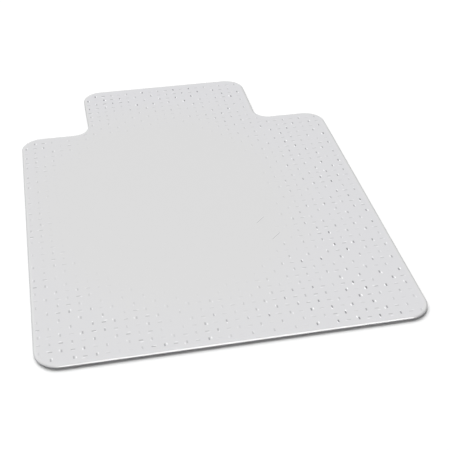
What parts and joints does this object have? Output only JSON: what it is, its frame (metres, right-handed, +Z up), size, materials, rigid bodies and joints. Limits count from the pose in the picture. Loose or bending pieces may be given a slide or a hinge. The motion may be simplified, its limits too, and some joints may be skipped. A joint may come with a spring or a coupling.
{
  "type": "chair mat",
  "caption": "Lipped, T-shaped vinyl chair mat for carpet, with a bevelled rim, standing on rows of small moulded cleats.",
  "frame": {"origin": "on the floor, under the centre of the mat's bounding box", "axes": "+X to the right for the person on the chair, +Y towards the lip that reaches under the desk, +Z up"},
  "size_m": [0.9144, 1.2192, 0.0096],
  "materials": {
    "sheet_vinyl": "translucent plasticised vinyl, finely grained top with a soft sheen",
    "cleat_vinyl": "the same translucent vinyl, left smooth by the mould"
  },
  "bodies": {
    "root": {"cleat_row_01": "cleat_vinyl", "cleat_row_02": "cleat_vinyl", "cleat_row_03": "cleat_vinyl", "cleat_row_04": "cleat_vinyl", "cleat_row_05": "cleat_vinyl", "cleat_row_06": "cleat_vinyl", "cleat_row_07": "cleat_vinyl", "cleat_row_08": "cleat_vinyl", "cleat_row_09": "cleat_vinyl", "cleat_row_10": "cleat_vinyl", "cleat_row_11": "cleat_vinyl", "cleat_row_12": "cleat_vinyl", "cleat_row_13": "cleat_vinyl", "cleat_row_14": "cleat_vinyl", "cleat_row_15": "cleat_vinyl", "cleat_row_16": "cleat_vinyl", "cleat_row_17": "cleat_vinyl", "cleat_row_18": "cleat_vinyl", "cleat_row_19": "cleat_vinyl", "cleat_row_20": "cleat_vinyl", "cleat_row_21": "cleat_vinyl", "cleat_row_22": "cleat_vinyl", "cleat_row_23": "cleat_vinyl", "cleat_row_24": "cleat_vinyl", "cleat_row_25": "cleat_vinyl", "cleat_row_26": "cleat_vinyl", "cleat_row_27": "cleat_vinyl", "cleat_row_28": "cleat_vinyl", "cleat_row_29": "cleat_vinyl", "cleat_row_30": "cleat_vinyl", "cleat_row_31": "cleat_vinyl", "cleat_row_32": "cleat_vinyl", "cleat_row_33": "cleat_vinyl", "cleat_row_34": "cleat_vinyl", "cleat_row_35": "cleat_vinyl", "cleat_row_36": "cleat_vinyl", "cleat_row_37": "cleat_vinyl", "cleat_row_38": "cleat_vinyl", "cleat_row_39": "cleat_vinyl", "cleat_row_40": "cleat_vinyl", "cleat_row_41": "cleat_vinyl", "cleat_row_42": "cleat_vinyl", "cleat_row_43": "cleat_vinyl", "cleat_row_44": "cleat_vinyl", "cleat_row_45": "cleat_vinyl", "cleat_row_46": "cleat_vinyl", "cleat_row_47": "cleat_vinyl", "mat_sheet": "sheet_vinyl"}
  },
  "joints": []
}
